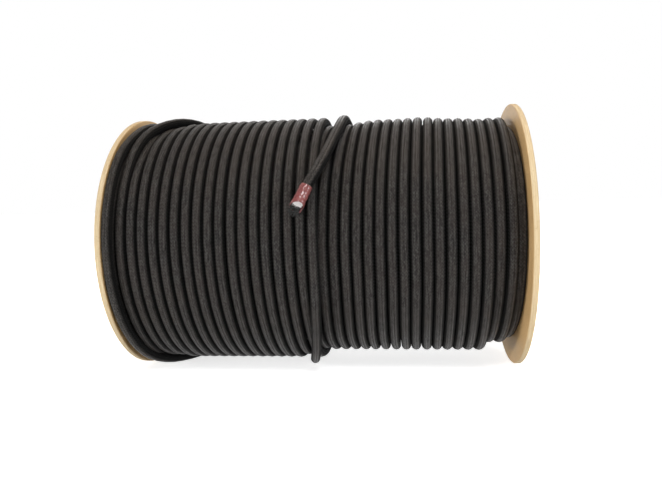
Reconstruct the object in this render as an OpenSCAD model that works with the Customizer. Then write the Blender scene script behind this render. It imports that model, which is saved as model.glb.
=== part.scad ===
// Reel of braided elastic cord. Two hardboard flanges are clamped on a cardboard tube by four tie rods, and one
// length of cord is wound between them. The last layer covers the left half, over a lower layer that shows on
// the right. The taped end of the cord crosses over the last turns.
// The reel lies on its rims with its axis along X. The origin is the middle of the axis. The front is -Y.

/* [Flanges] */
// Diameter of each flange
flange_d = 203; // [180:1:250]
// Thickness of each flange
flange_t = 4; // [3:0.5:6]
// Distance between the inner faces of the flanges
inside_w = 292; // [272:1:350]
// Diameter of the hole for the axle that the reel turns on
arbor_d = 32; // [20:1:40]
// Width of the small bevel round each rim
rim_bevel = 0.6; // [0.2:0.1:1]

/* [Tube] */
// Outside diameter of the cardboard tube
tube_d = 98; // [92:1:118]
// Wall of the cardboard tube
tube_wall = 4; // [2:0.5:6]
// Depth of the groove in each flange that seats an end of the tube
seat_depth = 1.5; // [1:0.25:2.5]
// Clearance on each side of the tube in its groove
seat_gap = 0.2; // [0.1:0.05:0.4]

/* [Tie rods] */
// Number of tie rods
rod_count = 4; // [3:1:6]
// Diameter of each tie rod
rod_d = 6; // [5:0.5:8]
// Diameter of the circle that the tie rods stand on
rod_pcd = 66; // [60:1:70]
// Clearance between a rod and its hole in the flange, on each side
rod_gap = 0.3; // [0.2:0.05:0.5]
// How far each rod stands out of its nuts
rod_proud = 1.5; // [0.5:0.5:4]
// Diameter of the washers
washer_d = 18; // [14:1:22]
// Thickness of the washers
washer_t = 1.6; // [1:0.1:2.5]
// Width of the nuts across their flats
nut_af = 10; // [8:0.5:14]
// Thickness of the nuts
nut_t = 5; // [4:0.5:7]

/* [Cord] */
// Diameter of the slack cord
cord_d = 8; // [6.5:0.1:9.6]
// How much narrower the wound cord is along the drum
squeeze_w = 0.9; // [0.8:0.05:1.2]
// How much flatter the wound cord is
squeeze_h = 0.4; // [0.3:0.05:0.8]
// Number of turns in the unfinished top layer
top_turns = 19; // [12:1:22]
// Space between one turn and the next, past the cord's diameter
turn_gap = 0.03; // [0:0.01:0.3]
// How far a layer sinks between the turns under it
layer_nest = 1.9; // [1:0.1:2.5]
// How far the flanges stand above the top layer
rim_margin = 4.1; // [3:0.1:15]
// Space between the cord and the flanges
side_gap = 0.4; // [0.2:0.1:1]
// Rings in each turn of cord
turn_rings = 19; // [12:1:24]

/* [Cord end] */
// Length of the tape round the cord's end
tape_l = 20; // [15:1:30]
// Thickness of the wrapped tape
tape_t = 0.5; // [0.3:0.1:1]
// How far the tape widens from its start to its mouth, on each side
mouth_flare = 0.85; // [0.5:0.05:1.5]

/* [Hidden] */
$fn = 96;

flange_r = flange_d / 2;
inner_x = inside_w / 2;
outer_x = inner_x + flange_t;
wound_w = cord_d - squeeze_w;
wound_h = cord_d - squeeze_h;
half_w = wound_w / 2;
half_h = wound_h / 2;
pitch = cord_d + turn_gap;
ring_step = 360 / turn_rings;

// Radius of the cord's centre in the top layer and in the layer under it
top_r = flange_r - rim_margin - half_h;
lower_r = top_r - cord_d + layer_nest;

// A ring of flat facets dips between its corners, so what lies under it stays this far below
function seat_r(r) = (r - half_h) * cos(ring_step / 2) - 0.1;

// The slack routes are drawn for 8 mm cord and grow with it
slack_scale = cord_d / 8;

// Angles go round the drum from the front, 0, over the top, 90, to the back, 180, and the bottom, 270.
function at(angle, x, r) = [x, -r * cos(angle), r * sin(angle)];
function outward(angle) = [0, -cos(angle), sin(angle)];
function forward(angle) = [0, sin(angle), cos(angle)];
function unit(v) = v / norm(v);

// ---- Top layer: from the free end, the angle grows and the turns go left ----

// Centre of the first turn beside the left flange, and of the last regular turn
first_x = -inner_x + side_gap + half_w;
last_x = first_x + pitch * (top_turns - 1);
function helix_x(angle) = last_x + pitch * (1 - angle / 360);

// The cord's outer turn lies slack over its neighbours: angle, shift from the regular turn, lift off the layer
outer_slack = [
    [90, 10.0, 1.0], [96, 10.2, 1.0], [110, 11.0, 1.0], [125, 10.6, 1.4], [140, 8.7, 2.2], [160, 4.1, 3.4],
    [180, -1.4, 4.0], [200, -7.2, 4.0], [220, -12.2, 4.0], [240, -15.9, 4.0], [255, -17.1, 4.0],
    [270, -16.0, 4.0], [278, -14.3, 4.8], [286, -12.3, 6.1], [298, -8.6, 7.4], [310, -4.8, 6.4],
    [324, -2.0, 3.8], [341, 0.0, 2.0], [360, 0.4, 0.8], [390, 0.3, 0.2], [420, 0.6, 0.0],
    [450, 1.0, 0.0], [480, 1.0, 0.0], [540, 0.8, 0.0], [600, 0.4, 0.0], [680, 0.0, 0.0]];

// The second turn from the left flange is slack too: it crosses its neighbours over the top, lies on them round
// the back and comes home under the bottom. From there to the top it stands proud beside the flange
left_slack = [
    [0, 0.0, 0.0], [20, 0.3, 0.2], [33, 0.7, 1.0], [45, 1.2, 2.4], [57, 3.2, 3.6], [67, 7.8, 4.4],
    [78, 15.4, 4.8], [90, 23.7, 4.8], [105, 31.6, 4.4], [125, 37.4, 4.1], [150, 40.1, 4.0], [180, 40.9, 4.0],
    [210, 40.6, 4.0], [235, 38.0, 4.0], [252, 33.4, 4.0], [262, 29.0, 4.0], [270, 24.4, 4.0],
    [278, 18.6, 4.9], [285, 13.4, 6.9], [292, 9.0, 7.6], [300, 5.2, 7.0], [310, 2.2, 6.0], [322, 0.7, 5.2],
    [335, 0.1, 4.8], [360, 0.0, 4.6], [395, 0.0, 4.6], [406, 0.5, 4.6], [420, 3.0, 4.4], [435, 4.5, 3.6],
    [446, 4.2, 2.0], [458, 3.0, 0.6], [475, 1.0, 0.0], [490, 0.0, 0.0]];

function column(table, c) = [for (row = table) [row[0], row[c] * slack_scale]];
outer_shift = column(outer_slack, 1);
outer_lift = column(outer_slack, 2);
left_shift = column(left_slack, 1);
left_lift = column(left_slack, 2);

// Angle at which the second turn from the left starts, and where the layer ends in the layers below
left_start = 360 * (top_turns - 1);
top_end = left_start + 360 + 200;

function top_x(angle) =
    max(helix_x(angle), first_x) + lookup(angle, outer_shift) + lookup(angle - left_start, left_shift);
function ease(f) = f <= 0 ? 0 : f >= 1 ? 1 : (1 - cos(180 * f)) / 2;
top_drop = cord_d + 1;
function top_free_r(angle) =
    top_r + lookup(angle, outer_lift) + lookup(angle - left_start, left_lift)
    - top_drop * ease((angle - left_start - 450) / 110);

// How far apart two cords' centres are across the layers where one passes over the other at a distance dx along
// the drum. Both are six-sided, and w is the sum of their half widths
pass_gap = 0.55;
function over(dx, w) = abs(dx) > w + pass_gap ? -1000
    : 2 * half_h + (pass_gap * norm([half_h, w]) - half_h * abs(dx)) / w;
near_rings = [-1, 0, 1] * ring_step;
near_steps = [-1, -0.75, -0.5, -0.25, 0, 0.25, 0.5, 0.75, 1] * ring_step;
function mix(a, b, f) = a * (1 - f) + b * f;

// A turn gives way under the slack ones: it sinks until they pass over it, also between two rings
function angle_in_turn(angle, start) = angle - 360 * floor((angle - start) / 360);
function slant(angle) = norm([top_x(angle + 9) - top_x(angle - 9), top_r * PI / 10]) / (top_r * PI / 10);
function room(dx, r, w) =
    min([for (k = [0, 1], f = [0:0.125:1]) mix(r[k], r[k + 1], f) - over(mix(dx[k], dx[k + 1], f), w)]);
function under(angle, above) = room(
    [for (d = near_rings) top_x(above + d) - top_x(angle + d)],
    [for (d = near_rings) top_free_r(above + d)],
    half_w * (1 + slant(above)));
function top_radius(angle) =
    angle < 450 || angle >= left_start ? top_free_r(angle)
    : min(top_free_r(angle), under(angle, angle_in_turn(angle, angle < 1440 ? 90 : left_start)));

// ---- Lower layer: it comes out from under the top layer and goes right ----

lower_pitch = pitch + 0.05;
lower_start = 90 - ring_step * ceil(turn_rings * 1.5);
lower_first_x = last_x + 5.3 * slack_scale;
right_limit = inner_x - side_gap - half_w;
// Whole turns that fit before the cord reaches the right flange
lower_turns = floor((right_limit - lower_first_x) / lower_pitch);
lower_end = 360 * (lower_turns + 1) + 171;

// The turns lean away from an even screw: angle in the turn, shift beside the top layer and beside the flange
lean = [
    [0, 0.5, -1.2], [29, 1.2, -2.0], [60, 3.6, -2.2], [84, 4.8, -1.4], [130, 4.0, -0.8], [180, 2.2, -0.4],
    [230, 1.6, 0.0], [270, 2.2, 0.0], [290, 2.2, 0.0], [310, 0.8, -0.4], [342, 1.0, -0.9], [360, 0.5, -1.2]];
left_lean = column(lean, 1);
right_lean = column(lean, 2);
function lower_free_x(angle) =
    let (x = lower_first_x + lower_pitch * angle / 360, a = angle_in_turn(angle, 0))
    x + mix(lookup(a, left_lean), lookup(a, right_lean), across(x));
function lower_x(angle) = min(lower_free_x(angle), right_limit);

// Beside the right flange three turns sink at the bottom: angle in the turn, drop
sink_x = right_limit - 2.4 * pitch;
sunk_at = [[0, 0], [150, 0], [200, 4], [240, 5.5], [300, 5.5], [340, 1.2], [360, 0]];
function sunk(angle) =
    lower_free_x(angle) < sink_x ? 0
    : ease((lower_free_x(angle) - sink_x) / 4) * slack_scale * lookup(angle_in_turn(angle, 0), sunk_at);

// Over the top of the reel the layer's middle turns ride up: place along the layer from 0 to 1, and rise. The
// second table is the share of the rise at each angle in the turn
ridge_across = [[0.11, 0], [0.17, 1.6], [0.22, 2.4], [0.3, 2.9], [0.4, 2.8], [0.5, 3.3], [0.56, 3], [0.62, 2.1],
    [0.7, 1.4], [0.77, 1], [0.84, 0]];
ridge_round = [[20, 0], [50, 0.6], [70, 1], [110, 1], [150, 0.5], [190, 0]];
function across(x) = min(max((x - lower_first_x) / (right_limit - lower_first_x), 0), 1);
function risen(angle) = slack_scale * lookup(across(lower_free_x(angle)), ridge_across)
    * lookup(angle_in_turn(angle, 0), ridge_round);

// The first turns lie under the top layer's last ones, and their end starts deeper
start_drop = 4.4 * slack_scale;
function beneath(angle) = min([for (n = [0:3])
    let (above = angle_in_turn(angle, 90) + 360 * n)
    room([for (d = near_rings) top_x(max(above + d, 90)) - lower_x(angle + d)],
        [for (d = near_rings) top_radius(max(above + d, 90))], 2.04 * half_w)]);
last_drop = 3.2;
function lower_free_r(angle) =
    angle < lower_start + 1 ? lower_r - start_drop
    : angle < 500 ? min(lower_r + risen(angle), beneath(angle))
    : lower_r + risen(angle) - sunk(angle);
function lower_radius(angle) =
    lower_free_x(angle) < right_limit ? lower_free_r(angle)
    : min(lower_free_r(angle), min([for (d = near_steps)
        lower_free_r(angle - 360 + d) - over(right_limit - lower_x(angle - 360 + d), 2.02 * half_w)]))
      - last_drop * ease((angle - lower_end + 80) / 70);

// ---- Cord as a six-sided tube ----

section = [[0, half_h], [half_w, half_h / 2], [half_w, -half_h / 2], [0, -half_h], [-half_w, -half_h / 2],
    [-half_w, half_h / 2]];

// One ring of corners round p, square to the direction t, with its first corner outward
function ring(p, t, out, outline) =
    let (n = unit(out - t * (t * out)), b = cross(t, n))
    [for (c = outline) p + c[0] * b + c[1] * n];

// Faces of a closed tube of rings, with a fan at each end
function tube_faces(rings, sides) = concat(
    [for (i = [0:rings - 2], j = [0:sides - 1])
        let (a = i * sides + j, b = i * sides + (j + 1) % sides)
        each [[a, a + sides, b], [b, a + sides, b + sides]]],
    [for (j = [1:sides - 2]) [0, j, j + 1]],
    [for (j = [1:sides - 2]) let (z = (rings - 1) * sides) [z, z + j + 1, z + j]]);

// Centres and outward directions of a winding. Each end runs straight for one cord diameter
function winding_angles(start, end) =
    [for (i = [1:floor((end - start) / ring_step - 0.7)]) start + i * ring_step];
function winding(start, end, p0, p1, inner) = concat(
    [[p0, outward(start)], [p0 + cord_d * forward(start), outward(start)]],
    inner,
    [[p1 - cord_d * forward(end), outward(end)], [p1, outward(end)]]);

module swept_tube(stations, outline) {
    sides = len(outline);
    last = len(stations) - 1;
    rings = [for (i = [0:last])
        let (t = i == 0 ? stations[1][0] - stations[0][0]
            : i == 1 ? stations[1][0] - stations[0][0]
            : i >= last - 1 ? stations[last][0] - stations[last - 1][0]
            : stations[i + 1][0] - stations[i - 1][0])
        each ring(stations[i][0], unit(t), stations[i][1], outline)];
    polyhedron(points = rings, faces = tube_faces(last + 1, sides));
}

top_angles = winding_angles(90, top_end);
top_stations = winding(90, top_end,
    at(90, top_x(90), top_radius(90)),
    at(top_end, first_x, top_radius(top_end)),
    [for (a = top_angles) [at(a, top_x(a), top_radius(a)), outward(a)]]);

lower_angles = winding_angles(lower_start, lower_end);
lower_stations = winding(lower_start, lower_end,
    at(lower_start, lower_x(lower_start), lower_radius(lower_start)),
    at(lower_end, right_limit, lower_radius(lower_end)),
    [for (a = lower_angles) [at(a, lower_x(a), lower_radius(a)), outward(a)]]);

// ---- Least gap between turns, measured on the facets ----

// A station is the cord's place in one plane through the axis: x, radius, and its width along X when it slants
function slant_width(x0, x1, r) =
    let (arc = r * ring_step * PI / 180)
    half_w * norm([x1 - x0, arc]) / arc;
function stations_of(angles, xs, rs) = [for (i = [0:len(angles) - 1])
    [xs[i], rs[i], slant_width(xs[max(i - 1, 0)], xs[i], rs[i])]];
top_cut = stations_of(top_angles, [for (a = top_angles) top_x(a)], [for (a = top_angles) top_radius(a)]);
lower_cut = stations_of(lower_angles,
    [for (a = lower_angles) lower_x(a)], [for (a = lower_angles) lower_radius(a)]);

// Gap between two six-sided cuts: past their flat sides, or past their slanted ones
function cut_gap(a, b) =
    let (dx = abs(a[0] - b[0]), dr = abs(a[1] - b[1]), w = a[2] + b[2], h = half_h)
    max(dx - w, (h * dx + w * dr - 2 * h * w) / norm([h, w]));
function between(list, i, f) = list[i] * (1 - f) + list[min(i + 1, len(list) - 1)] * f;
function gap_to_turn(list, i, j) =
    min([for (f = [0, 0.25, 0.5, 0.75]) cut_gap(between(list, i, f), between(list, j, f))]);
function least_self_gap(list) = min([for (i = [0:len(list) - 1 - turn_rings])
    for (j = [i + turn_rings:turn_rings:min(len(list) - 1, i + 8 * turn_rings)]) gap_to_turn(list, i, j)]);

// Both layers have their rings at the same angles, so their cuts are compared plane by plane
grid_shift = round((top_angles[0] - lower_angles[0]) / ring_step) % turn_rings;
function least_layer_gap(upper, under) = min([for (i = [0:4 * turn_rings])
    for (j = [(i + grid_shift) % turn_rings:turn_rings:min(len(under) - 2, 4 * turn_rings)])
        min([for (f = [0, 0.25, 0.5, 0.75]) cut_gap(between(upper, i, f), between(under, j, f))])]);

echo(top_layer_least_gap = least_self_gap(top_cut));
echo(lower_layer_least_gap = least_self_gap(lower_cut));
echo(least_gap_between_layers = least_layer_gap(top_cut, lower_cut));

// ---- Free end: angle, shift from the last regular turn, lift off the top layer ----

free_route = [[85.3, 16.0, 1.1], [75, 15.8, 1.3], [63, 15.1, 1.9], [51, 12.7, 3.5], [40, 8.9, 5.8],
    [31, 3.6, 7.9], [24, -2.4, 8.9]];
function free_point(row) = at(row[0], last_x + row[1] * slack_scale, top_r + row[2] * slack_scale);
free_points = concat([at(90, top_x(90), top_radius(90))], [for (row = free_route) free_point(row)]);
tape_start = free_points[len(free_points) - 1];
end_dir = unit([-0.40, -0.35, -0.85]);
neck_r = cord_d / 2 - 0.5;
// The cord stops a little short of the tape's mouth
cut_inset = 3;
cord_stop = tape_start + (tape_l - cut_inset) * end_dir;

free_sides = 8;
function round_outline(r) =
    [for (j = [0:free_sides - 1]) r * [sin(360 * j / free_sides), cos(360 * j / free_sides)]];
neck_at = 2;

// ---- Modules ----

// Turns a shape drawn round Z, whose angles start at X, round the reel's axis
module on_axis() rotate([90, 0, -90]) children();

module disc(r, x0, x1) translate([x0, 0, 0]) rotate([0, 90, 0]) cylinder(r = r, h = x1 - x0);

module rod_places() for (i = [0:rod_count - 1]) rotate([45 + i * 360 / rod_count, 0, 0])
    translate([0, 0, rod_pcd / 2]) children();

module flange_board() {
    bevel_r = flange_r - rim_bevel;
    difference() {
        rotate([0, 90, 0]) rotate_extrude() polygon([
            [arbor_d / 2, 0], [bevel_r, 0], [flange_r, rim_bevel],
            [flange_r, flange_t - rim_bevel], [bevel_r, flange_t], [arbor_d / 2, flange_t]]);
        difference() {
            disc(tube_d / 2 + seat_gap, -1, seat_depth);
            disc(tube_d / 2 - tube_wall - seat_gap, -2, seat_depth + 1);
        }
        rod_places() disc(rod_d / 2 + rod_gap, -1, flange_t + 1);
    }
}

module flange_right() color("burlywood") translate([inner_x, 0, 0]) flange_board();

module flange_left() color("burlywood") mirror([1, 0, 0]) translate([inner_x, 0, 0]) flange_board();

module core_tube() color("tan") {
    reach = inner_x + seat_depth;
    difference() {
        disc(tube_d / 2, -reach, reach);
        disc(tube_d / 2 - tube_wall, -reach - 1, reach + 1);
    }
}

nut_face = outer_x + washer_t;
rod_reach = nut_face + nut_t + rod_proud;
thread_fit = 0.05;

module tie_rods() color("silver") {
    tip = rod_d / 8;
    rod_places() rotate([0, 90, 0]) rotate_extrude() polygon([
        [0, -rod_reach], [rod_d / 2 - tip, -rod_reach], [rod_d / 2, tip - rod_reach],
        [rod_d / 2, rod_reach - tip], [rod_d / 2 - tip, rod_reach], [0, rod_reach]]);
}

module washer_set() rod_places() difference() {
    disc(washer_d / 2, outer_x, nut_face);
    disc(rod_d / 2 + rod_gap, outer_x - 1, nut_face + 1);
}

module washers_right() color("silver") washer_set();

module washers_left() color("silver") mirror([1, 0, 0]) washer_set();

module nut_set() rod_places() difference() {
    translate([nut_face, 0, 0]) rotate([0, 90, 0]) cylinder(d = nut_af / cos(30), h = nut_t, $fn = 6);
    disc(rod_d / 2 + thread_fit, nut_face - 1, nut_face + nut_t + 1);
}

module nuts_right() color("gainsboro") nut_set();

module nuts_left() color("gainsboro") mirror([1, 0, 0]) nut_set();

// Part of a ring cut from the plain layers, from x0 to x1 and from angle a0 to a1, down to radius r
module sector(x0, x1, r, a0, a1) on_axis() rotate([0, 0, a0]) rotate_extrude(angle = a1 - a0)
    translate([r, -x1]) square([flange_r - r, x1 - x0]);

// Room for a turn in the plain layers, on each side of its centre
turn_room = half_w + 0.3;
function lowest(start, end) = min([for (a = [start:10:end]) lower_radius(a)]);

// Where the top layer ends, and the groove for the lower layer's first turn
edge_x = last_x - 3.6 * slack_scale;
groove_x = max([for (a = [lower_start:10:-60]) lower_x(a)]) + turn_room;
// Where turns sink under the slack turn beside the left flange
press_x0 = first_x + half_w + 1.1;
press_x1 = first_x + pitch * 6.6;
press_r = seat_r(top_r) - 4.8 * slack_scale;

module cord_inner_layers() color([0.16, 0.15, 0.15]) {
    bore = tube_d / 2 + 0.1;
    end_x = inner_x - 0.2;
    top = seat_r(top_r);
    low = seat_r(lower_r);
    groove = seat_r(lowest(lower_start, 0));
    difference() {
        on_axis() rotate_extrude() polygon([
            [bore, end_x], [top, end_x], [top, -press_x0], [press_r, -press_x0], [press_r, -press_x1],
            [top, -press_x1], [top, -edge_x], [groove, -edge_x], [groove, -groove_x], [low, -groove_x],
            [low, -end_x], [bore, -end_x]]);
        // Under the slack outer turn
        sector(edge_x - 2.4 * pitch, edge_x + 0.5, press_r, 155, 372);
        // The top layer's first turn goes down into the layers below
        sector(-inner_x, first_x + turn_room, seat_r(top_r - top_drop), 85, top_end % 360);
        // The lower layer's first turn runs under the top layer's last one
        sector(lower_x(lower_start) - turn_room - 0.8, edge_x + 0.5, groove - 0.5, lower_start + 356, 60);
        // Beside the right flange the turns sink at the bottom, and the last one goes down
        sector(sink_x - turn_room, inner_x, seat_r(lower_r - 5.6 * slack_scale), 145, 356);
        sector(right_limit - turn_room, inner_x, seat_r(lowest(lower_end - 320, lower_end)), 180,
            lower_end % 360 + 360);
    }
}

module cord_top_layer() color([0.20, 0.19, 0.18]) swept_tube(top_stations, section);

module cord_lower_layer() color([0.18, 0.17, 0.17]) swept_tube(lower_stations, section);

// The free stretch narrows where the tape grips it
module cord_free_end() color([0.20, 0.19, 0.18]) {
    neck_start = tape_start - neck_at * end_dir;
    points = concat([for (i = [0:len(free_points) - 2]) free_points[i]], [neck_start, tape_start, cord_stop]);
    radii = concat([for (i = [0:len(free_points) - 2]) cord_d / 2], [cord_d / 2, neck_r, neck_r]);
    last = len(points) - 1;
    rings = [for (i = [0:last])
        let (t = i == 0 ? -forward(90) : i >= last - 1 ? end_dir : points[i + 1] - points[i - 1])
        each ring(points[i], unit(t), [0, points[i][1], points[i][2]], round_outline(radii[i]))];
    polyhedron(points = rings, faces = tube_faces(last + 1, free_sides));
}

// Stands a shape drawn up Z on the tape's start, along the cord's end
module along_end(offset) {
    tilt = acos(end_dir[2]);
    turn = atan2(end_dir[1], end_dir[0]);
    translate(tape_start + offset * end_dir) rotate([0, tilt, turn]) children();
}

module end_tape() color([0.60, 0.22, 0.22]) {
    in_r = neck_r + 0.05;
    mouth_r = in_r + mouth_flare;
    waist = tape_l * 0.55;
    waist_r = in_r + 0.25 * mouth_flare;
    along_end(0) rotate_extrude() polygon([
        [in_r, 0], [in_r + tape_t, 0], [waist_r + tape_t, waist], [mouth_r + tape_t, tape_l],
        [mouth_r, tape_l], [waist_r, waist]]);
}

// Strands of the rubber core: one in the middle, six round it and twelve round those
strand_d = neck_r * 0.37;
strand_l = cut_inset - 0.4;
function strand_ring(count, r) = [for (i = [0:count - 1]) r * [cos(360 * i / count), sin(360 * i / count)]];
strand_step = strand_d + 0.1;
strand_places = concat([[0, 0]], strand_ring(6, strand_step), strand_ring(12, strand_step * 1.95));

module end_core_strands() color([0.93, 0.90, 0.86]) along_end(tape_l - cut_inset)
    for (i = [0:len(strand_places) - 1])
        translate(strand_places[i]) cylinder(d = strand_d, h = strand_l - 0.5 * (i % 3), $fn = 16);

// Loose ends of the braid, which fan out of the tape's mouth round one side
fray_count = 14;
fray_d = 0.6;
fray_r = strand_step * 1.95 + (strand_d + fray_d) / 2 + 0.05;

module end_braid_fray() color([0.12, 0.12, 0.12]) along_end(tape_l - cut_inset)
    for (i = [0:fray_count - 1])
        rotate([0, 0, 60 + i * 240 / fray_count]) translate([fray_r, 0, 0.2])
            rotate([0, 2 + 2 * (i % 3), 0]) cylinder(d = fray_d, h = 4.4 + 0.6 * (i % 4), $fn = 16);

flange_left();
flange_right();
core_tube();
tie_rods();
washers_left();
washers_right();
nuts_left();
nuts_right();
cord_inner_layers();
cord_lower_layer();
cord_top_layer();
cord_free_end();
end_tape();
end_core_strands();
end_braid_fray();
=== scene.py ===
# %% [markdown]
# A shop reel of black elastic cord. Two discs of hardboard are clamped on a cardboard tube, and about a
# hundred metres of 8 mm cord are wound between them. The discs and the tube come from the frame as exact
# solids, and get their finish here. This script makes the cord itself, its taped end, the threaded rods with
# their washers and nuts, and the light.

import math

import bmesh
import bpy
from mathutils import Matrix, Vector, noise


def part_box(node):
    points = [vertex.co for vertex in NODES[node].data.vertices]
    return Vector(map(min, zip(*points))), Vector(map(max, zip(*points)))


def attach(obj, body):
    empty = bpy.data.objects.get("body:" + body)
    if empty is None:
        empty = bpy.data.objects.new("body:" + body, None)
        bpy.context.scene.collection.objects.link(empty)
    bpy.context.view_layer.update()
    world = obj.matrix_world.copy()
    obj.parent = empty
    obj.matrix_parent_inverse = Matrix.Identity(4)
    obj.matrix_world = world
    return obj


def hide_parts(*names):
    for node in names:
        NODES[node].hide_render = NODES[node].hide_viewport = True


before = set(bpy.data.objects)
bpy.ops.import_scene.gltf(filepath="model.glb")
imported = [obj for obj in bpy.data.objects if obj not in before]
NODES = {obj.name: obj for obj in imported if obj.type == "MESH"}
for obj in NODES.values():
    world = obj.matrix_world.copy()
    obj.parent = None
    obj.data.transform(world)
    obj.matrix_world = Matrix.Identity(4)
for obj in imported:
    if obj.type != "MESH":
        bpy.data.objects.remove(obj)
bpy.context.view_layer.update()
MM = 0.001
print("frame:", len(NODES), "nodes")

# %% [markdown]
# The reel's own sizes are read from the frame: where the flanges are, how far they reach, and where the floor
# is under their rims. The cord's sizes are set further down, in millimetres, because its route repeats the
# frame's.

# %% Sizes of the reel
right_low, right_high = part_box("flange_right")
INNER_X = right_low.x
OUTER_X = right_high.x
FLANGE_R = right_high.z
FLOOR_Z = -FLANGE_R
print(f"reel: inner width {2 * INNER_X:.3f} m, flanges {2 * FLANGE_R:.3f} m across")

# %% [markdown]
# The camera comes first. It stands half a metre in front of the axle, to the right of the reel's middle and a
# little above the axle, and it looks slightly left and down. Its lens is given by a focal length in pixels of
# a render that is 662 wide, turned into millimetres for Blender's 36 mm sensor.

# %% Camera
PICTURE_W = 662
FOCAL_PX = 600
CAMERA_AT = Vector((67.2, -493.2, 35.5)) * MM
YAW_PITCH_ROLL = [math.radians(a) for a in (-7.38, -4.61, -1.66)]


def camera_axes(yaw, pitch, roll):
    """Forward, right and up of a camera that first turns left or right, then tips, then rolls."""
    forward = Vector((math.sin(yaw) * math.cos(pitch), math.cos(yaw) * math.cos(pitch), math.sin(pitch)))
    right = Vector((math.cos(yaw), -math.sin(yaw), 0))
    up = right.cross(forward)
    rolled_right = math.cos(roll) * right + math.sin(roll) * up
    rolled_up = math.cos(roll) * up - math.sin(roll) * right
    return forward, rolled_right, rolled_up


forward, right, up = camera_axes(*YAW_PITCH_ROLL)
camera_data = bpy.data.cameras.new("camera")
camera_data.lens = FOCAL_PX / PICTURE_W * camera_data.sensor_width
camera_data.clip_start = 0.01
camera = bpy.data.objects.new("camera", camera_data)
camera.matrix_world = Matrix.Translation(CAMERA_AT) @ Matrix((right, up, -forward)).transposed().to_4x4()
bpy.context.scene.collection.objects.link(camera)
bpy.context.scene.camera = camera
print(f"camera: {camera_data.lens:.1f} mm lens")

# %% [markdown]
# The cord is one long tube, so first its route is worked out. Places on the drum are given by an angle that
# starts at the front and goes over the top, by the distance along the axle, and by the distance from it. In a
# neat winding the distance along the axle changes steadily with the angle, and where a turn lies slack its
# shift and its lift off the layer are a short table. Between two rows a cubic curve glides from one value to
# the next without a kink, which a straight line between them would have. Wound cord is stretched, so it is a
# little thinner than the free end.

# %% Places on the drum
FREE_R = 3.95
WOUND_R = 3.72
PITCH_TOP = 8.03
PITCH_LOW = 8.08
TOP_R = 93.9
LOWER_R = 87.8
TOP_TURNS = 19
FIRST_X = -142.05
LAST_X = FIRST_X + PITCH_TOP * (TOP_TURNS - 1)
STEPS = 72
print(f"top layer: {TOP_TURNS} turns, from {FIRST_X:.1f} to {LAST_X:.1f} mm along the axle")


def at(angle, x, radius):
    """Point in millimetres. Angle 0 is the front, 90 the top, 180 the back and 270 the bottom."""
    a = math.radians(angle)
    return Vector((x, -radius * math.cos(a), radius * math.sin(a)))


def outward(angle):
    return at(angle, 0, 1)


def hermite(t, start, slope0, end, slope1):
    """Cubic curve from start to end as t goes from 0 to 1, with these slopes at its two ends."""
    return (
        (2 * t**3 - 3 * t**2 + 1) * start
        + (t**3 - 2 * t**2 + t) * slope0
        + (3 * t**2 - 2 * t**3) * end
        + (t**3 - t**2) * slope1
    )


def glide(angle, rows, column=1):
    """Value of a table at an angle, on a smooth curve through its rows."""
    if angle <= rows[0][0]:
        return rows[0][column]
    for k in range(len(rows) - 1):
        if angle < rows[k + 1][0]:
            break
    else:
        return rows[-1][column]
    last = len(rows) - 1
    before, here, there, after = (rows[min(max(i, 0), last)] for i in range(k - 1, k + 3))
    width = there[0] - here[0]
    slope0 = (there[column] - before[column]) / max(there[0] - before[0], 1e-6) * width
    slope1 = (after[column] - here[column]) / max(after[0] - here[0], 1e-6) * width
    return hermite((angle - here[0]) / width, here[column], slope0, there[column], slope1)


def ease(value, start, end):
    """A smooth step from 0 to 1 as the value goes from start to end, which may be the lower one."""
    part = min(max((value - start) / (end - start), 0), 1)
    return (1 - math.cos(math.pi * part)) / 2


# %% [markdown]
# The last layer starts at the free end, on top of the reel, and goes round and round to the left flange. Two
# turns in it are slack. The outermost one has slid off its place and crosses over its neighbours under the
# reel. The second from the left flange comes off the layer at the top, lies on five others behind, and comes
# home below. The rows are angle, shift along the axle and lift off the layer. The very last stretch settles
# under that slack turn, goes on beside the flange for most of a turn, and dives out of sight.

# %% Route of the top layer
OUTER_SLACK = [
    (90, 10.0, 1.0), (96, 10.2, 1.0), (110, 11.0, 1.0), (125, 10.6, 1.4), (140, 8.7, 2.2), (160, 4.1, 3.4),
    (180, -1.4, 4.0), (200, -7.2, 4.0), (220, -12.2, 4.0), (240, -15.9, 4.0), (255, -17.1, 4.0),
    (270, -16.0, 4.0), (278, -14.3, 4.8), (286, -12.3, 6.1), (298, -8.6, 7.4), (310, -4.8, 6.4),
    (324, -2.0, 3.8), (341, 0.0, 2.0), (360, 0.4, 0.8), (390, 0.3, 0.2), (420, 0.6, 0.0),
    (450, 1.0, 0.0), (480, 1.0, 0.0), (540, 0.8, 0.0), (600, 0.4, 0.0), (680, 0.0, 0.0),
]
LEFT_SLACK = [
    (0, 0.0, 0.0), (20, 0.3, 0.2), (33, 0.7, 1.0), (45, 1.2, 2.4), (57, 3.2, 3.6), (67, 7.8, 4.4),
    (78, 15.4, 4.8), (90, 23.7, 4.8), (105, 31.6, 4.4), (125, 37.4, 4.1), (150, 40.1, 4.0), (180, 40.9, 4.0),
    (210, 40.6, 4.0), (235, 38.0, 4.0), (252, 33.4, 4.0), (262, 29.0, 4.0), (270, 24.4, 4.0),
    (278, 18.6, 4.9), (285, 13.4, 6.9), (292, 9.0, 7.6), (300, 5.2, 7.0), (310, 2.2, 6.0), (322, 0.7, 5.2),
    (335, 0.1, 4.8), (360, 0.0, 4.6), (395, 0.0, 4.6), (406, 0.5, 4.6), (420, 3.0, 4.4), (435, 4.5, 3.6),
    (446, 4.2, 2.0), (458, 3.0, 0.6), (475, 1.0, 0.0), (490, 0.0, 0.0),
]
TOP_START = 90
LEFT_START = 360 * (TOP_TURNS - 1)
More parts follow.
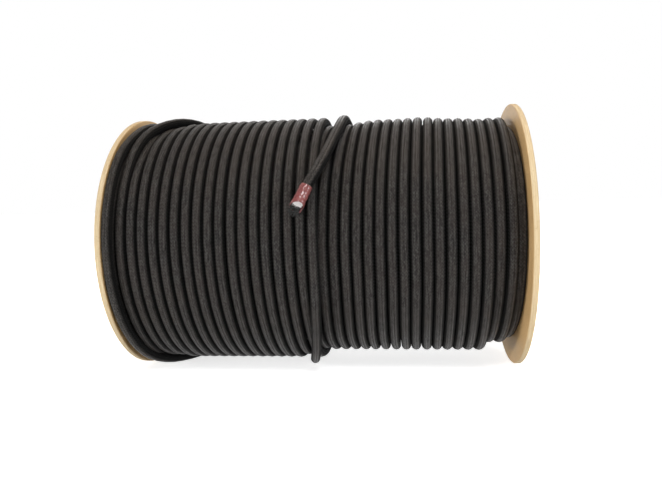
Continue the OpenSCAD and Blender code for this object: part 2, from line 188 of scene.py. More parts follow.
UNDER_SLACK = LEFT_START + 450
TOP_END = LEFT_START + 795
SETTLED = 2.9
DIVE = 6.0
STRAY = 0.42
STRAY_TURN = 95
TOP_SEED, LOW_SEED = 1.7, 5.3


def stray(angle, seed):
    """Small wandering of a turn from its even place, in millimetres."""
    return STRAY * noise.noise(Vector((angle / STRAY_TURN, seed, 0.5)))


def top_x(angle):
    x = max(LAST_X + PITCH_TOP * (1 - angle / 360), FIRST_X)
    slack = glide(angle, OUTER_SLACK) + glide(angle - LEFT_START, LEFT_SLACK)
    loose = ease(angle, TOP_START, TOP_START + 90) * ease(angle, LEFT_START + 200, LEFT_START)
    return x + slack + stray(angle, TOP_SEED) * loose


def top_free_r(angle):
    lift = glide(angle, OUTER_SLACK, 2) + glide(angle - LEFT_START, LEFT_SLACK, 2)
    settled = SETTLED * ease(angle, UNDER_SLACK, UNDER_SLACK + 110)
    return TOP_R + lift - settled - DIVE * ease(angle, TOP_END - 40, TOP_END - 5)


# %% [markdown]
# Where a slack turn crosses the others, they give way under it. How deep follows from two round cords that
# touch: their centres are one diameter apart, so the lower one goes down until that is true. The rule is
# applied for the crossing turn at every angle, and the result is smoothed over a few degrees, as a stretched
# cord can't kink.

# %% Turns that give way
TOUCH = 7.5
SLACK_UNTIL = 450
CROSSED_UNTIL = 1440
SMOOTH_REACH = 2


def below(crossing_r, dx):
    """Radius at which a cord just touches another that crosses over it at a distance dx along the axle."""
    return crossing_r - math.sqrt(TOUCH**2 - dx**2) if abs(dx) < TOUCH else math.inf


def top_limit(angle):
    """Radius that the slack turns leave for the top layer. The outer one crosses its first few turns."""
    if not SLACK_UNTIL <= angle < LEFT_START:
        return math.inf
    above = 90 + (angle - 90) % 360 if angle < CROSSED_UNTIL else LEFT_START + angle % 360
    return below(top_free_r(above), top_x(above) - top_x(angle))


def softened(values, reach):
    """Running lowest value, then running mean, which is smooth and never above what came in."""
    n = len(values)
    lowest = [min(values[max(i - reach, 0) : i + reach + 1]) for i in range(n)]
    return [sum(w) / len(w) for w in (lowest[max(i - reach, 0) : i + reach + 1] for i in range(n))]


def angles_between(start, end):
    n = round((end - start) * STEPS / 360)
    return [start + (end - start) * i / n for i in range(n + 1)]


top_angles = angles_between(TOP_START, TOP_END)
top_radii = softened([min(top_free_r(a), top_limit(a)) for a in top_angles], SMOOTH_REACH)
top_route = [at(a, top_x(a), r) for a, r in zip(top_angles, top_radii)]
print("top layer:", len(top_route), "stations, lowest radius", round(min(top_radii), 1), "mm")

# %% [markdown]
# The layer under it comes out on the right of the slack turn and goes on to the right flange. Its turns lean
# over a little, one way near the step and the other way far from it, and over the top of the reel the middle
# ones ride up on a low ridge. The last three have sunk into the layers below at the bottom, and the very last
# is wedged beside the flange. Under the top layer the cord goes on to the left, so that whatever shows
# between two turns is cord too. That hidden stretch belongs to the inner layers.

# %% Route of the lower layer
LOWER_X0 = LAST_X + 5.3
RIGHT_LIMIT = 142.05
SINK_X = RIGHT_LIMIT - 2.4 * PITCH_TOP
SUNK_AT = [(0, 0, 0), (150, 0, 0), (200, 4, 0), (240, 5.5, 0), (300, 5.5, 0), (340, 1.2, 0), (360, 0, 0)]
LEAN = [
    (0, 0.5, -1.2), (29, 1.2, -2.0), (60, 3.6, -2.2), (84, 4.8, -1.4), (130, 4.0, -0.8), (180, 2.2, -0.4),
    (230, 1.6, 0.0), (270, 2.2, 0.0), (290, 2.2, 0.0), (310, 0.8, -0.4), (342, 1.0, -0.9), (360, 0.5, -1.2),
]
RIDGE_ACROSS = [
    (0.11, 0.0), (0.17, 1.6), (0.22, 2.4), (0.30, 2.9), (0.40, 2.8), (0.50, 3.3), (0.56, 3.0), (0.62, 2.1),
    (0.70, 1.4), (0.77, 1.0), (0.84, 0.0),
]
RIDGE_ROUND = [(20, 0), (50, 0.6), (70, 1.0), (110, 1.0), (150, 0.5), (190, 0)]
BURIED_START = -360 * 18
LOWER_START = -460
LOWER_END = 360 * 17 + 171
COVERED_UNTIL = 500
COMING_OUT_DROP = 4.4
WEDGE_DROP = 3.2


def across(x):
    """How far along the layer a place is, from 0 at its first turn to 1 beside the right flange."""
    return min(max((x - LOWER_X0) / (RIGHT_LIMIT - LOWER_X0), 0), 1)


def lower_free_x(angle):
    x = LOWER_X0 + PITCH_LOW * angle / 360
    part = across(x)
    lean = (1 - part) * glide(angle % 360, LEAN) + part * glide(angle % 360, LEAN, 2)
    return x + lean + stray(angle, LOW_SEED) * ease(angle, LOWER_END - 720, LOWER_END - 920)


def lower_x(angle):
    return max(min(lower_free_x(angle), RIGHT_LIMIT), FIRST_X)


def first_turn(angle):
    """Number of the top layer's first station at an angle."""
    return round((angle - TOP_START) * STEPS / 360)


def beneath(angle):
    """Radius that the top layer's turns leave for the lower layer."""
    stations = range(first_turn(90 + (angle - 90) % 360), len(top_angles), STEPS)
    return min(below(top_radii[i], top_route[i].x - lower_x(angle)) for i in stations)


def lower_free_r(angle):
    """Radius of the lower layer, before its last turn is wedged in."""
    x = lower_free_x(angle)
    risen = LOWER_R + glide(across(x), RIDGE_ACROSS) * glide(angle % 360, RIDGE_ROUND)
    if angle < COVERED_UNTIL:
        return min(risen, beneath(angle)) - COMING_OUT_DROP * ease(angle, LOWER_START, LOWER_START - 40)
    return risen - ease(x, SINK_X, SINK_X + 4) * glide(angle % 360, SUNK_AT)


def lower_radius(angle):
    """Radius of the lower layer. Its last turn rests on the one beside it and on the flange."""
    radius = lower_free_r(angle)
    if lower_free_x(angle) < RIGHT_LIMIT:
        return radius
    beside = below(lower_free_r(angle - 360), RIGHT_LIMIT - lower_x(angle - 360))
    return min(radius, beside) - WEDGE_DROP * ease(angle, LOWER_END - 80, LOWER_END - 10)


lower_angles = angles_between(BURIED_START, LOWER_END)
lower_radii = softened([lower_radius(a) for a in lower_angles], SMOOTH_REACH)
lower_route = [at(a, lower_x(a), r) for a, r in zip(lower_angles, lower_radii)]
coming_out = round((LOWER_START - BURIED_START) * STEPS / 360)
print("lower layer:", len(lower_route), "stations,", coming_out, "of them under the top layer")

# %% [markdown]
# The free end leaves the top of the reel, comes down over the front and crosses the slack turn to its taped
# end. Its rows are angle, shift from the last regular turn and lift off the layer, and they repeat the route
# of the frame's own cord. Here the curve goes through points in space, so its slopes are directions.

# %% Route of the free end
FREE_ROWS = [
    (85.3, 16.0, 1.1), (75, 15.8, 1.3), (63, 15.1, 1.9), (51, 12.7, 3.5), (40, 8.9, 5.8), (31, 3.6, 7.9),
    (24, -2.4, 8.9),
]
TAPE_L = 20.0
CUT_INSET = 8.0
END_DIR = Vector((-0.40, -0.35, -0.85)).normalized()
free_points = [top_route[0]] + [at(a, LAST_X + shift, TOP_R + lift) for a, shift, lift in FREE_ROWS]
TAPE_START = free_points[-1]
CORD_STOP = TAPE_START + (TAPE_L - CUT_INSET) * END_DIR


def smooth_line(points, first_dir, last_dir, spacing):
    """Points a steady distance apart on a smooth curve through a few given ones."""
    line = []
    for i in range(len(points) - 1):
        p0, p1 = points[i], points[i + 1]
        gap = (p1 - p0).length
        d0, d1 = first_dir * gap, last_dir * gap
        if i > 0:
            d0 = (p1 - points[i - 1]) * gap / (gap + (p0 - points[i - 1]).length)
        if i < len(points) - 2:
            d1 = (points[i + 2] - p0) * gap / (gap + (points[i + 2] - p1).length)
        n = max(2, round(gap / spacing))
        for k in range(n):
            line.append(hermite(k / n, p0, d0, p1, d1))
    return line + [points[-1]]


FREE_SPACING = 1.5
free_route = smooth_line(free_points + [CORD_STOP], Vector((0, -1, 0)), END_DIR, FREE_SPACING)

# %% [markdown]
# Now the routes become tubes. A bmesh grid is a flat ribbon: its long side runs along the cord and its short
# side goes round it. Each of its corners is moved to its place on the tube, and the two long edges meet and
# are welded. The ribbon already has a UV map, which is set so that one side counts metres of cord and the
# other goes from 0 to 1 round it. The braid is drawn in that map, so it follows the cord through every bend.
# Tape, strands and threads are tubes too, so they are made by the same function with another rule for where a
# corner goes.

# %% Tubes
WELD = 1e-6


def tube(rings, sides, place, chart=lambda i, j: (0, 0), closed=True):
    """A bmesh tube. place gives the corner of ring i at side j in millimetres, chart its UV place."""
    bm = bmesh.new()
    bmesh.ops.create_grid(bm, x_segments=rings - 1, y_segments=sides, size=0.5, calc_uvs=True)
    uv = bm.loops.layers.uv.verify()
    for face in bm.faces:
        face.smooth = True
        for loop in face.loops:
            i = round((loop.vert.co.x + 0.5) * (rings - 1))
            j = round((loop.vert.co.y + 0.5) * sides)
            loop[uv].uv = chart(i, j)
    for vert in bm.verts:
        i = round((vert.co.x + 0.5) * (rings - 1))
        j = round((vert.co.y + 0.5) * sides)
        vert.co = place(i, j % sides) * MM
    bmesh.ops.remove_doubles(bm, verts=bm.verts, dist=WELD)
    if closed:
        bmesh.ops.holes_fill(bm, edges=[e for e in bm.edges if e.is_boundary], sides=sides)
    bmesh.ops.recalc_face_normals(bm, faces=bm.faces)
    return bm


def piece_from(name, *parts):
    """One object from several bmeshes."""
    whole = bmesh.new()
    for bm in parts:
        mesh = bpy.data.meshes.new(name)
        bm.to_mesh(mesh)
        bm.free()
        whole.from_mesh(mesh)
        bpy.data.meshes.remove(mesh)
    mesh = bpy.data.meshes.new(name)
    whole.to_mesh(mesh)
    whole.free()
    obj = bpy.data.objects.new(name, mesh)
    bpy.context.scene.collection.objects.link(obj)
    print(f"{name}: {len(mesh.polygons)} faces")
    return obj


def stand_for(obj, slot, *nodes):
    """The piece takes the place of these nodes and rides with the reel."""
    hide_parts(*nodes)
    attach(obj, "root")
    return obj


# %% [markdown]
# A tube needs two directions at each ring, square to its run: outward, and sideways. The cord's are found
# from its run between the rings on both sides and from the direction away from the axle. The seam of the map
# is on the inner side, where it doesn't show.

# %% Cords
def cord_tube(route, outs, radii, sides, direction=1):
    """A cord's tube. outs point away from the axle. direction is the way that the map counts metres."""
    reach = [0.0]
    for a, b in zip(route, route[1:]):
        reach.append(reach[-1] + (b - a).length)
    axes = []
    for i, out in enumerate(outs):
        along = (route[min(i + 1, len(route) - 1)] - route[max(i - 1, 0)]).normalized()
        out = (out - along * along.dot(out)).normalized()
        axes.append((out, along.cross(out)))

    def place(i, j):
        turn = 2 * math.pi * (j / sides + 0.5)
        out, sideways = axes[i]
        return route[i] + radii[i] * (math.cos(turn) * out + math.sin(turn) * sideways)

    print(f"cord of {reach[-1] * MM:.2f} m, {len(route)} rings")
    return tube(len(route), sides, place, lambda i, j: (direction * reach[i] * MM, j / sides))


def wound_tube(angles, route, sides):
    return cord_tube(route, [outward(a) for a in angles], [WOUND_R] * len(route), sides)


WOUND_SIDES = 14
top_tube = wound_tube(top_angles, top_route, WOUND_SIDES)
rope_top = stand_for(piece_from("rope_top_layer", top_tube), "cord_braid", "cord_top_layer")
lower_tube = wound_tube(lower_angles[coming_out:], lower_route[coming_out:], WOUND_SIDES)
rope_lower = stand_for(piece_from("rope_lower_layer", lower_tube), "cord_braid", "cord_lower_layer")

# %% [markdown]
# Nothing stretches the free end, so over its first centimetre it swells from the wound cord's thickness to
# its own.

# %% Free end
FREE_SIDES = 20
free_outs = [Vector((0, p.y, p.z)) for p in free_route]
free_radii = [WOUND_R + (FREE_R - WOUND_R) * ease(i, 0, 7) for i in range(len(free_route))]
free_tube = cord_tube(free_route, free_outs, free_radii, FREE_SIDES, direction=-1)
rope_free = stand_for(piece_from("rope_free_end", free_tube), "cord_braid", "cord_free_end")

# %% [markdown]
# Between the turns a little of the layer below shows. Under the top layer that is the lower layer's buried
# stretch. Deeper down everything is one body whose surface is a row of round backs, one for each turn. It
# rises under the ridge, and it goes down wherever a turn above it has sunk in. Its ends are closed down to
# the tube with extruded edges. Its map leaves 0 to 1 after the first back, so the cord's finish paints the
# rest with the painted shade of its flanks, almost black.

# %% Turns under the outer layers
BACK_R = LOWER_R - 6.1
BACK_STEPS = 6
BACK_END = INNER_X / MM - 0.3
VALLEY = 0.3
BACK_CLEARANCE = 0.1
BORE_R = 49.2
BURIED_SIDES = 10
backs = round(2 * BACK_END / PITCH_TOP * BACK_STEPS)
round_the_drum = [[] for _ in range(STEPS)]
for angles, route, radii in ((top_angles, top_route, top_radii), (lower_angles, lower_route, lower_radii)):
    for a, point, radius in zip(angles, route, radii):
        round_the_drum[round(a * STEPS / 360) % STEPS].append((point.x, radius))


def back_radius(x, j):
    """Height of the row of backs, kept under every turn that passes over this place."""
    off = (x - FIRST_X) % PITCH_TOP - PITCH_TOP / 2
    ridge = glide(across(x), RIDGE_ACROSS) * glide(j * 360 / STEPS, RIDGE_ROUND)
    height = BACK_R + ridge + math.sqrt(max(WOUND_R**2 - off**2, VALLEY))
    for turn_x, turn_r in round_the_drum[j]:
        if abs(turn_x - x) < TOUCH / 2:
            underside = turn_r - math.sqrt((TOUCH / 2) ** 2 - (turn_x - x) ** 2)
            height = min(height, underside - BACK_CLEARANCE)
    return height


def back_corner(i, j):
    x = -BACK_END + 2 * BACK_END * i / backs
    return at(j * 360 / STEPS, x, back_radius(x, j))


def back_chart(i, j):
    """The braid runs round the drum, and half of its way round a cord shows on each back."""
    return j / STEPS * 2 * math.pi * BACK_R * MM, i / BACK_STEPS * 0.5


buried = wound_tube(lower_angles[: coming_out + 2], lower_route[: coming_out + 2], BURIED_SIDES)
core = tube(backs + 1, STEPS, back_corner, back_chart, closed=False)
edges = [e for e in core.edges if e.is_boundary]
inner = bmesh.ops.extrude_edge_only(core, edges=edges)["geom"]
for vert in (v for v in inner if isinstance(v, bmesh.types.BMVert)):
    vert.co.yz = vert.co.yz.normalized() * BORE_R * MM
bmesh.ops.bridge_loops(core, edges=[e for e in core.edges if e.is_boundary])
bmesh.ops.recalc_face_normals(core, faces=core.faces)
rope_inner = stand_for(piece_from("rope_inner_layers", core, buried), "cord_braid", "cord_inner_layers")

# %% [markdown]
# The cord's end is cut slantwise, so that its mouth opens to the front, and it is wrapped in glossy red tape.
# A point on it is given by how far it is down the end, how far out, and an angle round it that starts at the
# front.

# %% Places on the end
FRONT = Vector((0.2, -1, 0.1))
END_FRONT = (FRONT - END_DIR * END_DIR.dot(FRONT)).normalized()
END_SIDE = END_DIR.cross(END_FRONT)


def on_end(down, out, turn):
    return TAPE_START + down * END_DIR + out * (math.cos(turn) * END_FRONT + math.sin(turn) * END_SIDE)


# %% [markdown]
# The tape is a narrow strip wound over itself, so each lap leaves a low step that climbs round the end. It is
# creased and a little loose, and it flares over the frayed mouth. Its edge is torn, cut back at the front,
# and hangs down in a short flap at the back right. Steps and creases are in the mesh, as they give the tape
# its outline and its glints. A second, inner skin goes back up from the mouth, so the tape has a wall.

# %% Tape
TAPE_RINGS = 56
OUTER_RINGS = TAPE_RINGS * 3 // 4
TAPE_SIDES = 48
TAPE_WALL = 0.5
INNER_SKIN = 0.55
CUT_BACK = 4.0
SLANT = 2.7
TEAR = 0.8
FLAP = 1.6
FLAP_AT = 4.1
FLAP_WIDTH = 0.45
LAP = 0.12
LAP_STEP = 6.5
FLARE = 0.5
FLARE_FROM, FLARE_TO = 0.25, 1.25
MOUTH_FLARE = 1.1
MOUTH_FROM = 0.55
CREASE = 0.32
FOLD = 0.40
CREASE_SIZE = 1.8
CREASES_ROUND = 1.5
TEARS_ROUND = 2.2


def tape_edge(turn):
    """How far down the tape reaches at an angle round the end."""
    torn = noise.noise(Vector((TEARS_ROUND * math.cos(turn), TEARS_ROUND * math.sin(turn), 4.0)))
    flap = math.exp(-(((turn - FLAP_AT) / FLAP_WIDTH) ** 2))
    return TAPE_L - CUT_BACK - SLANT * math.cos(turn + 0.4) + TEAR * torn + FLAP * flap


def tape_corner(i, j):
    """Corner of the tape. The outer rings go down to the mouth, and the others back up inside."""
    turn = 2 * math.pi * j / TAPE_SIDES
    inside = i >= OUTER_RINGS
    part = i / (OUTER_RINGS - 1)
    if inside:
        part = 1 - INNER_SKIN * (i - OUTER_RINGS) / (TAPE_RINGS - 1 - OUTER_RINGS)
    down = part * tape_edge(turn)
    reach = down / TAPE_L
    flare = FLARE * ease(reach, FLARE_FROM, FLARE_TO) + MOUTH_FLARE * max(reach - MOUTH_FROM, 0) ** 1.3
    lap = LAP * ((down / LAP_STEP + turn / (2 * math.pi)) % 1)
    spot = Vector((down / CREASE_SIZE, CREASES_ROUND * math.cos(turn), CREASES_ROUND * math.sin(turn)))
    crease = CREASE * noise.noise(spot) + FOLD * abs(noise.noise(2.3 * spot))
    out = FREE_R + LAP + flare + lap + crease * ease(down, 0, 3)
    return on_end(down, out - (TAPE_WALL if inside else 0), turn)


tape = tube(TAPE_RINGS, TAPE_SIDES, tape_corner, closed=False)
bmesh.ops.bridge_loops(tape, edges=[e for e in tape.edges if e.is_boundary])
bmesh.ops.recalc_face_normals(tape, faces=tape.faces)
end_tape = stand_for(piece_from("end_tape_wrap", tape), "red_tape", "end_tape")

# %% [markdown]
# In the mouth the rubber core shows: a bundle of pale strands, cut off on the slant. Each is a short tube
# whose last rings close in to a rounded tip.

# %% Core strands
STRAND_R = 0.68
STRAND_STEP = 1.42
STRAND_SIDES = 10
STRAND_END = 15.4
STRAND_SLANT = 0.75
STRAND_RAGGED = 0.5
STRAND_FROM = (9.0, 11.0)
TIP_RINGS = (1.0, 0.3, 0.12, 0.03, 0.0)
TIP_FROM = 3


def wobble(n, pace, seed):
    """A number that changes at random from one strand or yarn to the next, and is the same in each run."""
    return noise.noise(Vector((n * pace, seed, 0)))


def strand(n, off, around):
    """Strand number n, at a distance and an angle from the middle of the bundle."""
    end = STRAND_END - STRAND_SLANT * off * math.cos(around + 0.5) + STRAND_RAGGED * wobble(n, 1.7, 0)
    downs = [*STRAND_FROM, *(end - back for back in TIP_RINGS)]
    middle = Vector((off * math.cos(around), off * math.sin(around)))

    def corner(i, j):
        tip = max(i - TIP_FROM, 0) / (len(downs) - 1 - TIP_FROM)
        size = STRAND_R * math.sqrt(max(1 - tip**2, 0.04))
        turn = 2 * math.pi * j / STRAND_SIDES
        spot = middle + size * Vector((math.cos(turn), math.sin(turn)))
        return on_end(downs[i], spot.length, math.atan2(spot.y, spot.x))

    return tube(len(downs), STRAND_SIDES, corner)


strand_places = [(0.0, 0.0)]
for ring in (1, 2):
    count = 6 * ring
    strand_places += [(STRAND_STEP * ring, 2 * math.pi * k / count + 0.3 * ring) for k in range(count)]
strands = [strand(n, off, around) for n, (off, around) in enumerate(strand_places)]
end_strands = stand_for(piece_from("end_rubber_strands", *strands), "core_rubber", "end_core_strands")

# %% [markdown]
# The braid's yarns have come undone in the mouth, mostly on the lower left, where they make a tuft that hangs
# over the core. They start between the core and the tape, and each curls by its own amount.

# %% Loose yarns
YARNS = 84
YARN_R = 0.21
YARN_RINGS = 8
YARN_SIDES = 5
TUFT_FROM, TUFT_WIDTH, TUFT_STRAY = 70, 168, 20
TUFT_DEPTH = 2.9
GOLDEN = 0.618
YARN_START, START_SLANT = 14.0, 1.8
YARN_L, L_RANGE = 5.8, 3.4
SPREAD, SPREAD_RANGE = 2.0, 2.6
CURL = 1.4
UNDER_TAPE = 0.45


def yarn(n):
    """Loose yarn number n. It thins towards its tip, leans outward and curls round the end."""
    around = math.radians(TUFT_FROM + TUFT_WIDTH * n / YARNS + TUFT_STRAY * wobble(n, 0.9, 3.0))
    inward = TUFT_DEPTH * (n * GOLDEN % 1) ** 2
    start = YARN_START - START_SLANT * math.cos(around)
    length = YARN_L + L_RANGE * wobble(n, 1.3, 7.0)
    spread = SPREAD + SPREAD_RANGE * wobble(n, 0.7, 11.0)
    twist = CURL * wobble(n, 1.1, 17.0)

    def corner(i, j):
        part = i / (YARN_RINGS - 1)
        out = FREE_R - UNDER_TAPE - inward + spread * part**2
        size = YARN_R * (1 - 0.5 * part)
        turn = 2 * math.pi * j / YARN_SIDES
        middle = on_end(start + length * part, out, around + twist * part**2 * 0.5)
        return middle + size * (math.cos(turn) * END_FRONT + math.sin(turn) * END_SIDE)

    return tube(YARN_RINGS, YARN_SIDES, corner)


yarns = [yarn(n) for n in range(YARNS)]
end_yarns = stand_for(piece_from("end_loose_yarns", *yarns), "loose_braid", "end_braid_fray")

# %% [markdown]
# The free end's name is printed.

# %% The free end
print("declared:", rope_free.name)

# %% [markdown]
# The tie rods stand on a circle round the axle, where the frame has them, and how far they reach is read from
# it. A rod is a tube again: plain in its middle, and threaded where the nuts sit. A thread's ridge climbs one
# pitch in each turn, so its height depends on the distance along the rod plus the angle round it.

# %% Tie rods
ROD_R = 3.0
ROD_CIRCLE = 33.0
THREAD_PITCH = 1.0
THREAD_DEPTH = 0.45
THREADED = 12.0
RUN_OUT = 0.3
TIP_CHAMFER = 0.75
FINE_STEP = 0.2
ROD_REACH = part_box("tie_rods")[1].x / MM
ROD_SIDES = 24
rod_angles = [math.radians(45 + 90 * n) for n in range(4)]
fine = [ROD_REACH - FINE_STEP * k for k in range(round(THREADED / FINE_STEP) + 1)]
rod_stations = [-x for x in fine] + [0.0] + fine[::-1]


def rod_corner(i, j, angle):
    x = rod_stations[i]
    turn = 2 * math.pi * j / ROD_SIDES
    radius = ROD_R
    from_tip = ROD_REACH - abs(x)
    if from_tip < THREADED - RUN_OUT:
        groove = abs(2 * ((x / THREAD_PITCH + j / ROD_SIDES) % 1) - 1)
        radius -= THREAD_DEPTH * groove
    radius = min(radius, ROD_R - TIP_CHAMFER + from_tip)
    y, z = radius * math.cos(turn), radius * math.sin(turn)
    return Vector((x, y - ROD_CIRCLE * math.sin(angle), z + ROD_CIRCLE * math.cos(angle)))


def rod(angle):
    return tube(len(rod_stations), ROD_SIDES, lambda i, j: rod_corner(i, j, angle))


rods = [rod(angle) for angle in rod_angles]
tie_rods = stand_for(piece_from("tie_rods_threaded", *rods), "zinc_steel", "tie_rods")

# %% [markdown]
# Washers and nuts are turned shapes: a profile spun round its axis. A nut then has its six flats cut by
# planes, which leaves the curved edges that a real nut's chamfer has. Somebody tightened each nut by hand, so
# no two stand at the same angle.

# %% Washers and nuts
NUT_FLAT = 5.0
SPIN_STEPS = 48


def spun(profile):
    """A closed profile of (along the axle, radius) pairs in millimetres, spun round the X axis."""
    bm = bmesh.new()
    verts = [bm.verts.new(Vector((x, 0, r)) * MM) for x, r in profile]
    edges = [bm.edges.new((a, b)) for a, b in zip(verts, verts[1:] + verts[:1])]
    whole_turn = 2 * math.pi
    bmesh.ops.spin(
        bm, geom=edges, cent=(0, 0, 0), axis=(1, 0, 0), angle=whole_turn, steps=SPIN_STEPS, use_merge=True
    )
    bmesh.ops.recalc_face_normals(bm, faces=bm.faces)
    return bm


def six_flats(bm):
    for k in range(6):
        out = Vector((0, math.cos(k * math.pi / 3), math.sin(k * math.pi / 3)))
        everything = bm.verts[:] + bm.edges[:] + bm.faces[:]
        cut = bmesh.ops.bisect_plane(
            bm, geom=everything, plane_co=out * NUT_FLAT * MM, plane_no=out, clear_outer=True
        )
        rim = [e for e in cut["geom_cut"] if isinstance(e, bmesh.types.BMEdge)]
        bmesh.ops.edgeloop_fill(bm, edges=rim)
    bmesh.ops.recalc_face_normals(bm, faces=bm.faces)


def put_at(bm, x, angle, turned):
    """Turns a part round its own axis and stands it on a rod."""
    bmesh.ops.rotate(bm, verts=bm.verts, matrix=Matrix.Rotation(turned, 3, "X"))
    spot = Vector((x, -ROD_CIRCLE * math.sin(angle), ROD_CIRCLE * math.cos(angle)))
    bmesh.ops.translate(bm, verts=bm.verts, vec=spot * MM)
    return bm


WASHER_T = 1.6
WASHER_PROFILE = [
    (0, 3.4), (0, 8.85), (0.15, 9.0), (1.25, 9.0), (1.5, 8.9), (WASHER_T, 8.6), (WASHER_T, 3.6),
    (1.45, 3.35), (0.1, 3.3),
]
NUT_PROFILE = [
    (0, 3.5), (0, 4.9), (0.5, 5.77), (4.5, 5.77), (5.0, 4.9), (5.0, 3.5), (4.55, 3.06), (0.45, 3.06),
]
TURNED = {"left": (8, 37, 52, 21), "right": (44, 15, 29, 3)}
zinc_pieces = [tie_rods]
for side, sign in (("left", -1), ("right", 1)):
    face = OUTER_X / MM * sign
    washers, nuts = [], []
    for angle, turned in zip(rod_angles, TURNED[side]):
        washer = spun([(x * sign, r) for x, r in WASHER_PROFILE])
        washers.append(put_at(washer, face, angle, math.radians(turned)))
        nut = spun([(x * sign, r) for x, r in NUT_PROFILE])
        six_flats(nut)
        nuts.append(put_at(nut, face + WASHER_T * sign, angle, math.radians(turned)))
    punched = piece_from(f"washers_{side}_punched", *washers)
    zinc_pieces.append(stand_for(punched, "zinc_steel", f"washers_{side}"))
    hexagons = piece_from(f"nuts_{side}_hex", *nuts)
    zinc_pieces.append(stand_for(hexagons, "zinc_steel", f"nuts_{side}"))

# %% [markdown]
# Shader nodes are easier to read as sums. These helpers put a node in a tree, feed its inputs with numbers or
# with other nodes' outputs, and give back the node or its result.

# %% Node helpers
def put(tree, kind, inputs=None, **settings):
    """A new node. inputs maps a socket's name or number to a value or to another node's output."""
    node = tree.nodes.new(kind)
    for key, value in settings.items():
        setattr(node, key, value)
    for key, value in (inputs or {}).items():
        if isinstance(value, bpy.types.NodeSocket):
            tree.links.new(value, node.inputs[key])
        else:
            node.inputs[key].default_value = value
    return node


def calc(tree, operation, a, b=0.0):
    return put(tree, "ShaderNodeMath", {0: a, 1: b}, operation=operation).outputs[0]


def times(tree, a, b):
    return calc(tree, "MULTIPLY", a, b)


def plus(tree, a, b):
    return calc(tree, "ADD", a, b)


def split(tree, vector):
    """The three parts of a vector."""
    return put(tree, "ShaderNodeSeparateXYZ", {"Vector": vector}).outputs


def joined(tree, x, y, z=0.0):
    return put(tree, "ShaderNodeCombineXYZ", {0: x, 1: y, 2: z}).outputs[0]


def remap(tree, value, low, high, to_low=0.0, to_high=1.0):
    """The value's place between low and high, turned into the same place between two others."""
    inputs = {"Value": value, "From Min": low, "From Max": high, "To Min": to_low, "To Max": to_high}
    return put(tree, "ShaderNodeMapRange", inputs).outputs["Result"]


def stretched(tree, value):
    """Noise stays near its middle value, and this makes it reach from 0 to 1."""
    return remap(tree, value, 0.3, 0.7)


def blend(tree, factor, a, b):
    """Colour a where the factor is 0 and colour b where it is 1."""
    node = put(tree, "ShaderNodeMix", data_type="RGBA")
    for socket, value in ((node.inputs[0], factor), (node.inputs[6], a), (node.inputs[7], b)):
        if isinstance(value, bpy.types.NodeSocket):
            tree.links.new(value, socket)
        else:
            socket.default_value = value
    return node.outputs[2]


def grain(tree, vector, scale, detail, roughness=0.6):
    inputs = {"Vector": vector, "Scale": scale, "Detail": detail, "Roughness": roughness}
    return put(tree, "ShaderNodeTexNoise", inputs).outputs["Fac"]


def new_group(name, inputs, outputs):
    """A shader group. Its sockets are numbers, apart from the one that is called Vector."""
    print("group:", name)
    group = bpy.data.node_groups.new(name, "ShaderNodeTree")
    for in_out, labels in (("INPUT", inputs), ("OUTPUT", outputs)):
        for label in labels:
            kind = "NodeSocketVector" if label == "Vector" else "NodeSocketFloat"
            group.interface.new_socket(label, in_out=in_out, socket_type=kind)
    return group, group.nodes.new("NodeGroupInput").outputs, group.nodes.new("NodeGroupOutput").inputs


def new_material(name, **constants):
    """A material with a Principled shader. Its constants are set on the shader's own sockets."""
    print("material:", name)
    material = bpy.data.materials.new(name)
    material.use_nodes = True
    shader = material.node_tree.nodes["Principled BSDF"]
    for label, value in constants.items():
        shader.inputs[label.replace("_", " ")].default_value = value
    return material, material.node_tree, shader


def paint(tree, shader, colour):
    tree.links.new(colour, shader.inputs["Base Color"])


def wear(obj, material):
    obj.data.materials.clear()
    obj.data.materials.append(material)


# %% [markdown]
# The cord's cover is a tube of braided yarn. Two families of yarn bundles run round it in opposite screws and
# pass over and under each other. In the map of the cord each family is a set of slanted stripes, so a
# bundle's round back is half a sine wave across its stripe. Which family is on top changes like a chess
# board. The group gives the height of the braid, and a number for each bundle that tints it.

# %% Braid group
braid, b_in, b_out = new_group("braid", ["Along", "Round", "Bundles", "Length"], ["Height", "Tint"])
along = calc(braid, "DIVIDE", b_in["Along"], b_in["Length"])
around = times(braid, b_in["Round"], b_in["Bundles"])
screw_a = plus(braid, around, along)
screw_b = calc(braid, "SUBTRACT", around, along)
ridge_a = calc(braid, "ABSOLUTE", calc(braid, "SINE", times(braid, screw_a, math.pi)))
ridge_b = calc(braid, "ABSOLUTE", calc(braid, "SINE", times(braid, screw_b, math.pi)))
floor_a, floor_b = calc(braid, "FLOOR", screw_a), calc(braid, "FLOOR", screw_b)
cell = plus(braid, floor_a, floor_b)
on_top = calc(braid, "GREATER_THAN", calc(braid, "FLOORED_MODULO", cell, 2.0), 0.5)
bundle_a = times(braid, ridge_a, on_top)
bundle_b = times(braid, ridge_b, calc(braid, "SUBTRACT", 1.0, on_top))
braid.links.new(calc(braid, "POWER", plus(braid, bundle_a, bundle_b), 0.7), b_out["Height"])
bundle = joined(braid, floor_a, floor_b)
tint = put(braid, "ShaderNodeTexWhiteNoise", {"Vector": bundle}, noise_dimensions="2D")
braid.links.new(tint.outputs["Value"], b_out["Tint"])

# %% [markdown]
# Three more effects are shared. One is a pair of grains, a cloudy one and a fine one, which fibre board,
# cardboard, tape and zinc all have at their own scale. Another finds a place's distance from the axle, for
# the rims, and its turn round it, for saw marks and the tube's spiral. The last is noise that is drawn out
# into streaks, because it is read at a high scale one way and at a low one the other.

